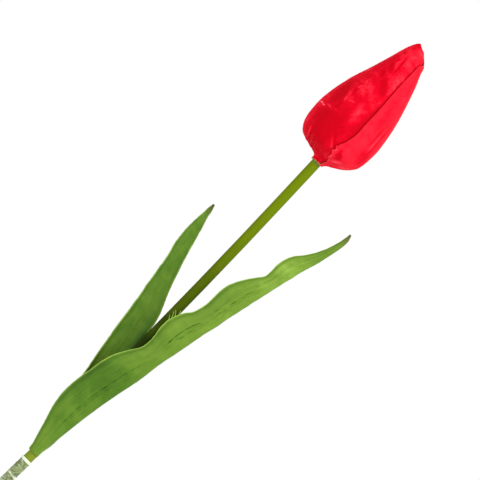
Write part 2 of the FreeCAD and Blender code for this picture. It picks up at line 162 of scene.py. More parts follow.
# Leaf sections from foot to tip, as shares of length, reach, reach, lean and bow:
# height, left and right silhouette from the stem, setback and bow
LONG_LEAF_SHARES = [
    (0.000, -0.092, 0.066, 0.000, 0.82), (0.021, -0.115, 0.069, 0.010, 0.84),
    (0.042, -0.143, 0.077, 0.020, 0.86), (0.084, -0.208, 0.098, 0.030, 0.92),
    (0.126, -0.275, 0.120, 0.040, 0.96), (0.168, -0.306, 0.144, 0.060, 0.99),
    (0.210, -0.301, 0.175, 0.070, 1.00), (0.260, -0.262, 0.220, 0.120, 0.98),
    (0.300, -0.229, 0.262, 0.160, 0.96), (0.330, -0.183, 0.293, 0.200, 0.94),
    (0.370, -0.074, 0.322, 0.240, 0.92), (0.396, 0.010, 0.338, 0.260, 0.90),
    (0.418, 0.036, 0.358, 0.280, 0.88), (0.444, 0.032, 0.387, 0.300, 0.87),
    (0.469, 0.013, 0.413, 0.320, 0.86), (0.492, 0.012, 0.436, 0.340, 0.85),
    (0.515, 0.042, 0.458, 0.360, 0.84), (0.541, 0.103, 0.484, 0.385, 0.82),
    (0.559, 0.173, 0.508, 0.400, 0.80), (0.577, 0.208, 0.529, 0.420, 0.78),
    (0.603, 0.237, 0.557, 0.450, 0.75), (0.638, 0.244, 0.596, 0.490, 0.71),
    (0.673, 0.263, 0.638, 0.530, 0.68), (0.691, 0.301, 0.657, 0.550, 0.65),
    (0.713, 0.362, 0.688, 0.570, 0.61), (0.740, 0.458, 0.720, 0.610, 0.55),
    (0.762, 0.542, 0.747, 0.635, 0.50), (0.784, 0.558, 0.774, 0.660, 0.47),
    (0.810, 0.558, 0.811, 0.700, 0.44), (0.836, 0.593, 0.843, 0.735, 0.40),
    (0.854, 0.641, 0.870, 0.760, 0.37), (0.878, 0.740, 0.915, 0.800, 0.32),
    (0.916, 0.862, 0.966, 0.860, 0.24), (0.955, 0.939, 1.011, 0.920, 0.20),
    (0.982, 0.975, 1.026, 0.970, 0.16), (1.000, 0.990, 1.000, 1.000, 0.12)]
SHORT_LEAF_SHARES = [
    (0.000, -0.125, 0.125, 0.00, 0.84), (0.080, -0.200, 0.150, 0.04, 0.90),
    (0.160, -0.300, 0.140, 0.08, 0.96), (0.240, -0.400, 0.140, 0.12, 1.00),
    (0.318, -0.473, 0.130, 0.17, 1.00), (0.397, -0.566, 0.090, 0.24, 0.98),
    (0.449, -0.620, 0.050, 0.29, 0.96), (0.502, -0.673, -0.020, 0.35, 0.93),
    (0.555, -0.717, -0.090, 0.41, 0.90), (0.610, -0.766, -0.161, 0.47, 0.86),
    (0.662, -0.820, -0.298, 0.54, 0.80), (0.715, -0.868, -0.429, 0.61, 0.72),
    (0.768, -0.917, -0.537, 0.69, 0.63), (0.821, -0.995, -0.639, 0.77, 0.53),
    (0.874, -1.024, -0.727, 0.84, 0.43), (0.927, -1.010, -0.824, 0.90, 0.30),
    (0.953, -1.000, -0.868, 0.94, 0.24), (0.980, -0.985, -0.903, 0.97, 0.18),
    (1.000, -0.960, -0.940, 1.00, 0.12)]

# Pressed vein lines of a leaf: place across, start and end along it, depth in millimetres
LONG_LEAF_VEINS = [
    (0.11, 0.06, 0.40, 0.12), (0.21, 0.10, 0.30, 0.09), (-0.02, 0.38, 0.62, 0.16),
    (0.08, 0.42, 0.74, 0.14), (0.16, 0.44, 0.74, 0.12), (0.25, 0.50, 0.72, 0.12),
    (0.36, 0.54, 0.70, 0.10), (-0.12, 0.56, 0.70, 0.10)]
SHORT_LEAF_VEINS = [(0.0, 0.08, 0.60, 0.05), (-0.24, 0.20, 0.56, 0.04), (0.26, 0.20, 0.50, 0.04)]

# Painted shade and light of leaves: across, along, half width, half length, shade (dark above 0)
LONG_LEAF_SHADES = [
    (0.0, 0.25, 1.6, 0.09, 0.44), (0.2, 0.32, 0.6, 0.04, 0.12), (-0.7, 0.10, 0.5, 0.06, -0.12),
    (0.0, 0.11, 1.5, 0.05, 0.20), (0.0, 0.61, 1.3, 0.06, -0.14), (-0.5, 0.62, 0.5, 0.05, 0.16),
    (0.1, 0.80, 1.4, 0.10, -0.34), (0.1, 0.50, 0.8, 0.03, -0.10)]
SHORT_LEAF_SHADES = [
    # First two rows: painted shade on the short leaf beside the stem
    (0.92, 0.49, 0.40, 0.085, 1.15), (0.90, 0.38, 0.40, 0.07, 0.30), (0.0, 0.66, 0.9, 0.10, -0.10),
    (0.0, 0.32, 1.5, 0.09, -0.44), (0.0, 0.93, 1.5, 0.06, -0.10)]

# A leaf: its sections, the angles of its two margins round its bow in degrees, its side of the
# stem along Y, its veins and painted shades, its level of green, the flat size of its cloth, the
# width of the bright line at its left margin and how bright the lines at both margins are; these
# lines are partly painted highlight
LeafForm = namedtuple("LeafForm", "sections margins side veins shades level flat "
                                  "rim_width rim_shade")
LEAVES = {
    "long": LeafForm(LONG_LEAF_SHARES, (-85.0, 98.0), -1.0, LONG_LEAF_VEINS, LONG_LEAF_SHADES,
                     0.40, (24.0, 163.0), 0.14, 1.15),
    "short": LeafForm(SHORT_LEAF_SHARES, (-74.0, 72.0), 1.0, SHORT_LEAF_VEINS, SHORT_LEAF_SHADES,
                      0.53, (19.0, 129.0), 0.08, 0.50)}

# Loose threads at the long leaf's cut edge: place along it, then sideways and upwards reach
LEAF_THREADS = [(0.496, -1.3, 3.0), (0.506, -1.5, 3.6), (0.516, -1.9, 3.0), (0.526, -0.7, 2.8)]
LEAF_THREAD_RADII = [0.13, 0.13, 0.12, 0.11, 0.10, 0.09, 0.06]
# Loose threads of the petals' foot: angle, sideways reach and drop
FOOT_THREADS = [(6, 0.9, 1.1), (18, -0.5, 1.3), (27, 0.6, 0.9), (-12, -0.8, 0.8), (40, 0.4, 1.0)]
FOOT_THREAD_RADII = [0.06] * 6

# Finishes mottled in two tones: the second tone on screen, scale and detail of the pattern,
# roughness, shine, and height and strength of its relief
MOTTLED = {
    "petal_cut_edge": ((236, 74, 84), 900.0, 2.0, 0.75, 0.03, 0.00, 0.0),
    "petal_thread": ((216, 60, 70), 300.0, 3.0, 0.80, 0.30, 0.03, 0.4),
    "inner_petal_cloth": ((196, 14, 34), 220.0, 4.0, 0.70, 0.25, 0.08, 0.6),
    "leaf_cut_edge": ((140, 176, 66), 900.0, 2.0, 0.70, 0.25, 0.00, 0.0),
    "milky_film": ((212, 222, 196), 500.0, 3.0, 0.35, 0.45, 0.08, 0.5),
    "receptacle_plastic": ((112, 130, 40), 300.0, 3.0, 0.40, 0.30, 0.03, 0.4),
    "peg_plastic": ((86, 106, 6), 300.0, 3.0, 0.50, 0.10, 0.03, 0.4),
    "collar_plastic": ((120, 146, 36), 300.0, 3.0, 0.40, 0.30, 0.03, 0.4)}

# Petal cloth: width and height for its weave, sizes of its crumples and swells and their painted
# shade and highlight, and how deep the swells, the frill at the foot and the lift of the seam's
# edge are
PETAL_CLOTH = (43.0, 78.0, 1.0)
CRUMPLE_SIZE = 2.6
FINE_CRUMPLE_SIZE = 0.9
SWELL_SIZE = 6.5
CRUMPLE_SHADE = 0.16
SWELL_SHADE = 0.12
SWELL_DEPTH = 0.16
FRILL_DEPTH = 0.35
SEAM_LIFT = 0.05
# The seam's frayed stretch: its end up the outline, its start across the petal, the size of
# its frays and how far they reach round the bud
FRAY_TOP = 0.24
FRAY_SIDE = 0.93
FRAY_SIZE = 0.7
FRAY_TURN = math.radians(2.4)
# From one petal of a ring to the next
THIRD = math.radians(120.0)
# Inner petals: foot and top up the outline, half their angle, depth inside the bud, how much
# deeper they are drawn in at the shoulder and at the mouth, and depth and size of their folds
INNER_FOOT = 0.03
INNER_TOP = 0.958
INNER_HALF_ANGLE = math.radians(56.0)
INNER_DEPTH = 1.95
SHOULDER_DRAW = 0.35
MOUTH_DRAW = 1.65
INNER_FOLD_DEPTH = 0.05
INNER_FOLD_SIZE = 3.0
# Foot threads: how far from the bud's axis they start and end, and their height at the start
THREAD_START = 3.3
THREAD_END = 2.7
THREAD_HEIGHT = 0.75

# Leaf cloth. Veins: ease of their ends, half width, size of their dots, and painted shade of a
# depth
VEIN_EASE = 0.05
VEIN_WIDTH = 0.026
VEIN_DOT_SIZE = 2.2
VEIN_SHADE = 3.8
# Creases and waves of the margins: the length that their patterns are laid along, their sizes,
# how far they lift the cloth, and the painted shade and light of a crease
PATTERN_LENGTH = 150.0
CREASE_SIZE = 5.0
CREASE_LIFT = 0.10
CREASE_SHADE = 0.12
MARGIN_WAVE_SIZE = 1.2
MARGIN_WAVE = 0.10
# Width of the bright line, partly painted highlight, at a leaf's right margin, as a share of half
# the leaf
RIGHT_RIM_WIDTH = 0.08
# Gap between a leaf's plies and under its wire, and along the leaf the start and the length of
# the wire
PLY_GAP = 0.02
WIRE_GAP = 0.1
WIRE_START = 0.03
WIRE_RUN = 0.88
# Coarseness of the sheets: columns and rows of outer petals, inner petals, plies and film
OUTER_PETAL_GRID = (120, 170)
INNER_PETAL_GRID = (60, 100)
OUTER_PLY_GRID = (110, 230)
INNER_PLY_GRID = (36, 230)
FILM_GRID = (96, 240)

# Film: room over the stem; where its first turn starts, and a lapped edge's place and half
# width, as shares of a turn; the clear strip under its end; the folded end's bore and waves
FILM_ROOM = 0.12
LAP_START = 0.22
LAP_EDGE = 0.08
LAP_WIDTH = 0.07
CLEAR_STRIP_DOWN = 2.9
CLEAR_STRIP_WIDTH = 1.1
BAND_BORE = 2.27
BAND_WAVE_SIZE = 1.6
BAND_WAVE_OUT = 0.06
BAND_WAVE_UP = 0.12

# Stage: what the lamps point at, and each lamp's size and place, in metres
LAMP_TARGET = (0.0, 0.0, 0.26)
LAMPS = {"key": (0.7, (0.85, -0.95, 0.95)), "fill": (0.9, (-0.9, -1.0, 0.35)),
         "back": (0.9, (0.2, 1.2, 0.7))}


def linear(red, green, blue):
    """A screen colour in 0 to 255 as a linear colour."""
    def part(value):
        level = value / 255.0
        return level / 12.92 if level <= 0.04045 else ((level + 0.055) / 1.055) ** 2.4
    return (part(red), part(green), part(blue))


def colour(name, description, red, green, blue):
    """A colour property with its default as a screen colour."""
    return FloatVectorProperty(name=name, description=description, subtype="COLOR", size=3,
                               min=0.0, max=1.0, default=linear(red, green, blue))


def length(name, description, millimetres):
    """A length property in metres with its default in millimetres."""
    return FloatProperty(name=name, description=description, default=millimetres * MM,
                         min=0.0, unit="LENGTH", subtype="DISTANCE")


def share(name, description, value):
    """A property from 0 to 1."""
    return FloatProperty(name=name, description=description, default=value, min=0.0, max=1.0,
                         subtype="FACTOR")


def degrees(name, description, value):
    """An angle property with its default in degrees."""
    return FloatProperty(name=name, description=description, default=math.radians(value),
                         subtype="ANGLE")


def watts(name, description, value):
    """The power of a lamp."""
    return FloatProperty(name=name, description=description, default=value, min=0.0, unit="POWER")


class BudSettings(PropertyGroup):
    """Sizes and colours of the bud."""
    radius: length("Radius", "Mean half width of the bud", 16.4)
    height: length("Height", "Height of the bud above its seat", 66.3)
    cloth: length("Cloth", "Thickness of the petal cloth", 0.38)
    layer_gap: length("Layer gap", "Room between one petal and the next", 0.47)
    crumple: length("Crumple", "Depth of the small crumples of the cloth", 0.07)
    petal_angle: degrees("Petal angle", "How far a petal reaches round", 150.0)
    seam_angle: degrees("Seam angle", "Where the front seam lies", 16.0)
    red: colour("Red", "Petal cloth in full light", 241, 34, 55)
    # Deep red is the cloth with painted shade in its folds; pale red is painted highlight and pale
    # frays
    deep_red: colour("Deep red", "Petal cloth in its folds", 196, 0, 22)
    pale_red: colour("Pale red", "Worn ridges of the petal cloth", 250, 150, 150)
    inner_red: colour("Inner red", "Inner petals", 150, 8, 22)


class LeafSettings(PropertyGroup):
    """Sizes and colours of the leaves."""
    ply: length("Ply", "Thickness of one ply of leaf cloth", 0.25)
    long_length: length("Long leaf", "Height of the long leaf above its foot", 159.3)
    long_reach: length("Long reach", "How far the long leaf's tip stands from the stem", 31.2)
    long_lean: length("Long lean", "How far the long leaf's tip comes forward", 14.0)
    long_bow: length("Long bow", "Depth of the long leaf's hollow", 3.6)
    short_length: length("Short leaf", "Height of the short leaf above its foot", 126.6)
    short_reach: length("Short reach", "How far the short leaf's tip stands from the stem", 20.5)
    short_lean: length("Short lean", "How far the short leaf's tip goes back", 11.0)
    short_bow: length("Short bow", "Depth of the short leaf's hollow", 3.4)
    clasp: length("Clasp", "How far up the leaves wrap the stem", 14.0)
    foot_margin: share("Foot margin", "How far the leaf's foot wraps, as a share", 0.66)
    clear: length("Clear", "Least half width round the stem", 2.78)
    wire: length("Wire", "Radius of the wire in a leaf", 0.3)
    wire_room: length("Wire room", "Height of the swelling over the wire", 0.8)
    light_green: colour("Light green", "Leaf in full light", 113, 146, 46)
    mid_green: colour("Mid green", "Leaf between light and shade", 72, 111, 24)
    deep_green: colour("Deep green", "Leaf in its grooves and shade", 22, 42, 4)
    # The cut green colours the cut edges and also the painted highlight along the leaf margins
    cut_green: colour("Cut edge", "Cut edge of the leaf cloth", 172, 210, 92)
    tip_brown: colour("Tip", "Worn tip of the leaf", 92, 92, 40)


class StemSettings(PropertyGroup):
    """Sizes and colours of the stem and its inner parts."""
    radius: length("Radius", "Radius of the covered stem", 2.2)
    top_green: colour("Top green", "Stem under the bud", 110, 132, 5)
    # The low green is partly painted shade from the leaves
    low_green: colour("Low green", "Stem between the leaves", 66, 82, 3)
    foot_green: colour("Foot green", "Bare stem under the leaves", 130, 147, 44)
    steel: colour("Steel", "Wire in the stem and leaves", 150, 152, 156)
    pale_plastic: colour("Pale plastic", "Receptacle", 128, 146, 52)
    foam: colour("Foam", "Former inside the bud", 236, 232, 220)


class WrapSettings(PropertyGroup):
    """Sizes and colours of the wrap of clear film."""
    film: length("Film", "Thickness of the film", 0.08)
    crinkle: length("Crinkle", "Depth of the film's crinkles", 0.22)
    lap_pitch: length("Lap pitch", "Height of one turn of the film", 4.9)
    lap_height: length("Lap height", "How far a lapped edge stands proud", 0.16)
    clear_tint: colour("Film", "Colour of the film", 172, 186, 132)
    milky: colour("Milky", "Folded end of the film and its laps", 226, 235, 209)
    cover: share("Cover", "How much of the stem the film hides", 0.60)


class StageSettings(PropertyGroup):
    """Floor, lamps and camera."""
    floor_radius: length("Floor", "Radius of the floor", 600.0)
    frame_width: length("Frame", "Width of the picture at the stem", 201.6)
    distance: length("Distance", "From the stem to the camera", 1600.0)
    tilt: degrees("Tilt", "How far the stem leans in the picture", 43.2)
    centre_x: length("Centre", "Middle of the picture left of the stem", 6.3)
    centre_z: length("Centre height", "Height of the middle of the picture", 254.2)
    key_power: watts("Key", "Power of the key lamp", 13.0)
    fill_power: watts("Fill", "Power of the fill lamp", 6.0)
    back_power: watts("Back", "Power of the lamp behind", 4.0)
    sky: share("Sky", "Level of the even light from all round", 0.70)
    floor_tone: colour("Floor", "Colour of the floor", 240, 240, 238)


SETTINGS = {"tulip_bud": BudSettings, "tulip_leaf": LeafSettings, "tulip_stem": StemSettings,
            "tulip_wrap": WrapSettings, "tulip_stage": StageSettings}


def smooth_row(rows, place):
    """The values of a table at a place of its first column, smooth from row to row."""
    place = min(max(place, rows[0][0]), rows[-1][0])
    index = 0
    while index < len(rows) - 2 and rows[index + 1][0] < place:
        index += 1
    low, high = rows[index], rows[index + 1]
    before, after = rows[max(index - 1, 0)], rows[min(index + 2, len(rows) - 1)]
    step = high[0] - low[0]
    t = (place - low[0]) / step
    values = []
    for column in range(1, len(low)):
        slope_low = (high[column] - before[column]) / (high[0] - before[0]) * step
        slope_high = (after[column] - low[column]) / (after[0] - low[0]) * step
        values.append((2 * t ** 3 - 3 * t ** 2 + 1) * low[column]
                      + (t ** 3 - 2 * t ** 2 + t) * slope_low
                      + (3 * t ** 2 - 2 * t ** 3) * high[column]
                      + (t ** 3 - t ** 2) * slope_high)
    return values


def smooth_step(value, low=0.0, high=1.0):
    """Rises smoothly from 0 at low to 1 at high."""
    t = min(max((value - low) / (high - low), 0.0), 1.0)
    return t * t * (3.0 - 2.0 * t)


def stretch(value, start, full, ease, end):
    """Rises smoothly from 0 at start to 1 at full, and falls from ease to 0 at end."""
    return smooth_step(value, start, full) * (1.0 - smooth_step(value, ease, end))


def hill(value, middle, width):
    """1 at the middle, and nearly 0 at twice the width on either side."""
    return math.exp(-((value - middle) / width) ** 2)


def ripple(point, scale, octaves=3):
    """Steady noise from -1 to 1 at a point, with a cell of about the scale in millimetres."""
    return noise.fractal(point / scale, 1.0, 2.0, octaves)


def stem_x(height):
    """Where the stem's centre line stands sideways at a height, in millimetres."""
    lean_top = BEND_RUN / BEND_RADIUS
    arc_top = STRAIGHT_RUN + BEND_RADIUS * math.sin(lean_top)
    if height <= STRAIGHT_RUN:
        return 0.0
    if height <= arc_top:
        return -BEND_RADIUS * (1.0 - math.cos(math.asin((height - STRAIGHT_RUN) / BEND_RADIUS)))
    return -BEND_RADIUS * (1.0 - math.cos(lean_top)) - (height - arc_top) * math.tan(lean_top)


def from_bud(x, y, z):
    """A point of the bud's own frame, in millimetres, in the model's frame."""
    return Vector((SEAT.x + x * AXIS.z + z * AXIS.x, SEAT.y + y, SEAT.z - x * AXIS.x + z * AXIS.z))


def new_object(name, bm, *materials):
    """A piece from a finished bmesh, with smooth faces and its materials."""
    mesh = bpy.data.meshes.new(name)
    for face in bm.faces:
        face.smooth = True
    bm.to_mesh(mesh)
    bm.free()
    for material in materials:
        mesh.materials.append(material)
    piece = bpy.data.objects.new(name, mesh)
    bpy.context.scene.collection.objects.link(piece)
    return piece


def cloth_grid(grid, place):
    """A sheet whose points go where place says, each with a shade, and a map of the cut cloth."""
    columns, rows = grid
    bm = bmesh.new()
    bm.loops.layers.uv.new("cloth")
    shade = bm.verts.layers.float.new("shade")
    bmesh.ops.create_grid(bm, x_segments=columns, y_segments=rows, size=1.0, calc_uvs=True)
    for vert in bm.verts:
        point, tone = place(vert.co.x, (vert.co.y + 1.0) / 2.0)
        vert.co = point * MM
        vert[shade] = tone
    return bm


def thicken(piece, thickness, rim=0):
    """Gives a sheet its thickness inwards from its outer face."""
    solidify = piece.modifiers.new("cloth_thickness", "SOLIDIFY")
    solidify.thickness = thickness
    solidify.offset = -1.0
    solidify.use_even_offset = False
    solidify.material_offset_rim = rim


def edges_at(verts):
    """The edges at some vertices, each once and always in the same order."""
    return list(dict.fromkeys(edge for vert in verts for edge in vert.link_edges))


def tube(bm, points, radii, sides):
    """A closed round tube along points, made of rings that are extruded one from the next."""
    places = []
    for before, point, after, radius in zip(points[:1] + points, points, points[1:] + points[-1:],
                                            radii):
        turn = (after - before).to_track_quat("Z", "Y").to_matrix().to_4x4()
        places.append(Matrix.Translation(point * MM) @ turn @ Matrix.Scale(radius * MM, 4))
    ring = bmesh.ops.create_circle(bm, cap_ends=False, segments=sides, radius=1.0,
                                   matrix=places[0])["verts"]
    bm.faces.new(ring).normal_flip()
    edges = edges_at(ring)
    for old, new in zip(places, places[1:]):
        made = bmesh.ops.extrude_edge_only(bm, edges=edges)["geom"]
        ring = [item for item in made if isinstance(item, bmesh.types.BMVert)]
        edges = [item for item in made if isinstance(item, bmesh.types.BMEdge)
                 and set(item.verts) <= set(ring)]
        bmesh.ops.transform(bm, matrix=new @ old.inverted(), verts=ring)
    bmesh.ops.holes_fill(bm, edges=edges, sides=sides)


def closed(bm):
    """Merges doubles and turns the faces of a closed mesh outwards."""
    bmesh.ops.remove_doubles(bm, verts=bm.verts, dist=MERGE_DISTANCE)
    bmesh.ops.recalc_face_normals(bm, faces=bm.faces)
    return bm


class Nodes:
    """Short calls for building a node tree."""

    def __init__(self, tree):
        self.tree = tree

    def join(self, value, socket):
        """Links a socket, or sets a plain value."""
        if isinstance(value, bpy.types.NodeSocket):
            self.tree.links.new(value, socket)
        else:
            socket.default_value = value

    def add(self, kind, inputs=(), **settings):
        """A new node with settings, and its inputs linked or set."""
        node = self.tree.nodes.new(kind)
        for key, value in settings.items():
            setattr(node, key, value)
        for key, value in dict(inputs).items():
            self.join(value, node.inputs[key])
        return node

    def math(self, operation, first, second, clamp=False):
        return self.add("ShaderNodeMath", {0: first, 1: second}, operation=operation,
                        use_clamp=clamp).outputs[0]


class Finish(Nodes):
    """Short calls for building one node material."""

    def __init__(self, name, roughness, specular):
        self.material = bpy.data.materials.new(name)
        self.material.use_nodes = True
        super().__init__(self.material.node_tree)
        self.shader = self.tree.nodes["Principled BSDF"]
        self.join(roughness, self.shader.inputs["Roughness"])
        self.join(specular, self.shader.inputs["Specular IOR Level"])
        self.relief = None

    def coordinates(self):
        return self.add("ShaderNodeTexCoord").outputs["Object"]

    def part(self, where, axis):
        """One of a place's three coordinates."""
        return self.add("ShaderNodeSeparateXYZ", {"Vector": where}).outputs[axis]

    def scaled(self, where, scale):
        return self.add("ShaderNodeMapping", {"Vector": where, "Scale": scale}).outputs["Vector"]

    def cloth_map(self, scale):
        """The piece's own map of its cut cloth, stretched to real proportions."""
        return self.scaled(self.add("ShaderNodeUVMap", uv_map="cloth").outputs["UV"], scale)

    def shade(self):
        """The shade that the cloth's maker gave each place."""
        return self.add("ShaderNodeAttribute", attribute_name="shade").outputs["Fac"]

    def noise(self, where, scale, detail, roughness=0.55):
        return self.add("ShaderNodeTexNoise", {"Vector": where, "Scale": scale, "Detail": detail,
                                               "Roughness": roughness}).outputs["Fac"]

    def drawn_lines(self, scale, squeeze):
        """Fine lines along the height, as drawing through a die leaves them."""
        return self.noise(self.scaled(self.coordinates(), (1.0, 1.0, squeeze)), scale, 2.0)

    def wave(self, where, scale, direction, distortion):
        return self.add("ShaderNodeTexWave", {"Vector": where, "Scale": scale,
                                              "Distortion": distortion, "Detail": 1.0},
                        bands_direction=direction).outputs["Fac"]

    def vary(self, level, pattern, amount):
        """A level that a pattern moves up and down by half the amount."""
        swing = self.math("MULTIPLY", self.math("SUBTRACT", pattern, 0.5), amount)
        return self.math("ADD", level, swing)

    def ramp(self, factor, stops):
        """A colour ramp through places and linear colours."""
        node = self.add("ShaderNodeValToRGB", {"Fac": factor})
        elements = node.color_ramp.elements
        while len(elements) < len(stops):
            elements.new(0.5)
        for element, (place, tone) in zip(elements, stops):
            element.position = place
            element.color = (*tone, 1.0)
        return node.outputs["Color"]

    def rise(self, factor, low, high):
        """Rises from 0 at low to 1 at high."""
        return self.ramp(factor, [(low, (0.0, 0.0, 0.0)), (high, (1.0, 1.0, 1.0))])

    def mix(self, factor, first, second):
        """A blend of two colours, each a plain one or a socket."""
        first, second = ((*tone, 1.0) if isinstance(tone, tuple) else tone
                         for tone in (first, second))
        return self.add("ShaderNodeMix", {0: factor, 6: first, 7: second},
                        data_type="RGBA").outputs[2]

    def bump(self, height, distance, strength):
        """Relief with its height in millimetres, on top of the relief of the call before."""
        inputs = {"Height": height, "Distance": distance * MM, "Strength": strength}
        if self.relief:
            inputs["Normal"] = self.relief
        self.relief = self.add("ShaderNodeBump", inputs).outputs["Normal"]
        self.join(self.relief, self.shader.inputs["Normal"])

    def colour(self, value):
        self.join(value, self.shader.inputs["Base Color"])


def tint(settings, name):
    """A colour of a property group as a plain tuple."""
    return tuple(getattr(settings, name))


def mottled(name, tone):
    """One of the mottled finishes, with its first tone."""
    other, scale, detail, roughness, specular, relief, strength = MOTTLED[name]
    make = Finish(name, roughness, specular)
    pattern = make.noise(make.coordinates(), scale, detail)
    make.colour(make.mix(pattern, tone, linear(*other)))
    if relief:
        make.bump(pattern, relief, strength)
    return make.material


def petal_material(bud):
    """Red satin cloth: fine weave, crumpled mottling, painted shade in deep red folds, pale painted
    highlight on ridges.
    """
    make = Finish("petal_cloth", roughness=0.65, specular=0.03)
    sheen = {"Weight": 0.02, "Roughness": 0.4, "Tint": (*linear(255, 60, 70), 1.0)}
    for name, value in sheen.items():
        make.join(value, make.shader.inputs[f"Sheen {name}"])
    where = make.coordinates()
    mottle = make.noise(where, scale=260.0, detail=5.0, roughness=0.62)
    cloud = make.noise(where, scale=70.0, detail=3.0, roughness=0.5)
    worn = make.vary(make.vary(0.0, mottle, 0.16), cloud, 0.10)
    level = make.math("ADD", make.math("MULTIPLY", make.shade(), 0.72), worn)
    level = make.math("ADD", level, 0.5, clamp=True)
    # Low levels are painted highlight and pale frays, high levels painted shade in dents, folds and
    # crumples
    make.colour(make.ramp(level, [
        (0.0, tint(bud, "pale_red")), (0.16, linear(255, 82, 96)), (0.46, tint(bud, "red")),
        (0.62, linear(218, 2, 32)), (0.92, tint(bud, "deep_red"))]))
    cut = make.cloth_map(PETAL_CLOTH)
    weave = make.math("ADD", make.wave(cut, 1.4, "X", 0.3), make.wave(cut, 1.4, "Y", 0.3))
    make.bump(mottle, distance=0.10, strength=0.7)
    make.bump(weave, distance=0.010, strength=0.2)
    return make.material


def leaf_material(name, leaf, form):
    """Coated leaf cloth: fine lengthwise veins, pressed grooves, soft patches, painted shade and
    light, and a worn tip.
    """
    make = Finish(name, roughness=0.55, specular=0.12)
    where = make.coordinates()
    width, height = form.flat
    stretched = make.cloth_map((width, height * 0.06, 1.0))
    fibre = make.noise(stretched, scale=2.2, detail=3.0, roughness=0.6)
    speck = make.noise(where, scale=420.0, detail=3.0)
    level = make.vary(make.math("MULTIPLY", make.shade(), 0.5), fibre, 0.26)
    level = make.vary(level, make.noise(where, scale=60.0, detail=3.0), 0.22)
    level = make.vary(level, speck, 0.10)
    level = make.math("ADD", level, form.level, clamp=True)
    # The cut green end is painted highlight at the margins, the deep green end painted shade
    green = make.ramp(level, [(0.0, tint(leaf, "cut_green")), (0.30, tint(leaf, "light_green")),
                              (0.60, tint(leaf, "mid_green")), (1.0, tint(leaf, "deep_green"))])
    worn_tip = make.rise(make.part(make.cloth_map((1.0, 1.0, 1.0)), "Y"), 0.955, 0.995)
    make.colour(make.mix(worn_tip, green, tint(leaf, "tip_brown")))
    ribs = make.wave(make.cloth_map((width, height, 1.0)), 0.16, "X", distortion=1.2)
    make.bump(ribs, distance=0.05, strength=0.5)
    make.bump(speck, distance=0.04, strength=0.5)
    return make.material


def stem_material(stem):
    """Satin green plastic with faint draw lines along it, and painted shade from the leaves, near
    black between them.
    """
    make = Finish("stem_plastic", roughness=0.55, specular=0.04)
    where = make.coordinates()
    lines = make.drawn_lines(scale=900.0, squeeze=0.05)
    height = make.vary(make.part(where, "Z"), make.noise(where, scale=90.0, detail=3.0), 0.03)
    # Painted shade of the leaves: near black from about 162 to 201 mm up, then a shaded low green
    green = make.ramp(make.math("DIVIDE", height, 0.3, clamp=True), [
        (0.43, tint(stem, "foot_green")), (0.54, linear(18, 38, 1)), (0.67, linear(20, 42, 1)),
        (0.715, tint(stem, "low_green")), (0.79, linear(84, 102, 4)),
        (0.90, tint(stem, "top_green"))])
    make.colour(make.mix(make.math("MULTIPLY", lines, 0.35), green, tint(stem, "low_green")))
    make.bump(lines, distance=0.03, strength=0.4)
    return make.material


def film_material(wrap):
    """Clear crinkled film: see-through, with milky creases and laps."""
    make = Finish("clear_film", roughness=0.22, specular=0.5)
    where = make.coordinates()
    crease = make.noise(where, scale=420.0, detail=4.0, roughness=0.65)
    shade = make.shade()
    milk = make.math("ADD", make.math("MULTIPLY", shade, crease), make.rise(crease, 0.50, 0.72),
                     clamp=True)
    patch = make.math("ADD", make.noise(where, scale=240.0, detail=3.0),
                      make.math("MULTIPLY", shade, 0.2))
    clear = make.mix(make.rise(patch, 0.42, 0.60), linear(112, 126, 80), tint(wrap, "clear_tint"))
    make.colour(make.mix(milk, clear, tint(wrap, "milky")))
    cover = make.math("ADD", make.math("MULTIPLY", milk, 0.45), wrap.cover * 0.7, clamp=True)
    make.join(cover, make.shader.inputs["Alpha"])
    make.bump(crease, distance=0.25, strength=0.8)
    return make.material


def steel_material(stem):
    """Drawn steel wire with lengthwise lines."""
    make = Finish("steel_wire", roughness=0.35, specular=0.5)
    make.shader.inputs["Metallic"].default_value = 1.0
    lines = make.drawn_lines(scale=1600.0, squeeze=0.04)
    make.colour(make.mix(lines, tint(stem, "steel"), linear(112, 114, 118)))
    make.bump(lines, distance=0.02, strength=0.4)
    return make.material


def foam_material(stem):
    """Rigid foam with closed cells."""
    make = Finish("bud_foam", roughness=0.9, specular=0.15)
    cells = make.add("ShaderNodeTexVoronoi", {"Vector": make.coordinates(), "Scale": 900.0})
    make.colour(make.mix(cells.outputs["Distance"], tint(stem, "foam"), linear(212, 206, 190)))
    make.bump(cells.outputs["Distance"], distance=0.15, strength=0.8)
    return make.material


def finish_node(node, material):
    """Gives a carried-over part of the model its material and slot."""
    part = frame["nodes"][node]
    part.data.materials.clear()
    part.data.materials.append(material)


def bud_point(bud, place, angle, depth):
    """A point of the bud at a place up its outline, an angle from the front and a depth."""
    def outline(where):
        left_r, left_h, right_r, right_h = smooth_row(BUD_OUTLINE_SHARES, where)
        side = (1.0 + math.sin(angle)) / 2.0
        return (bud.radius / MM * (left_r + (right_r - left_r) * side),
                bud.height / MM * (left_h + (right_h - left_h) * side))
    step = 0.004
    radius, height = outline(place)
    low, high = outline(place - step), outline(place + step)
    run = math.hypot(high[0] - low[0], high[1] - low[1])
    radius -= depth * (high[1] - low[1]) / run
    height += depth * (high[0] - low[0]) / run
    return radius * math.sin(angle), -radius * math.cos(angle), height


def folds_at(folds, x, z):
    """Depth and shade that a list of dents and folds gives at a place seen from the front."""
    depth, tone = 0.0, 0.0
    for centre_x, centre_z, wide, high, turn, deep, shade in folds:
        lean = math.radians(turn)
        dx, dz = x - centre_x, z - centre_z
        across = (dx * math.cos(lean) + dz * math.sin(lean)) / wide
        along = (dz * math.cos(lean) - dx * math.sin(lean)) / high
        reach = math.exp(-(across * across + along * along) ** 1.5)
        depth += deep * reach
        tone += shade * reach
    return depth, tone


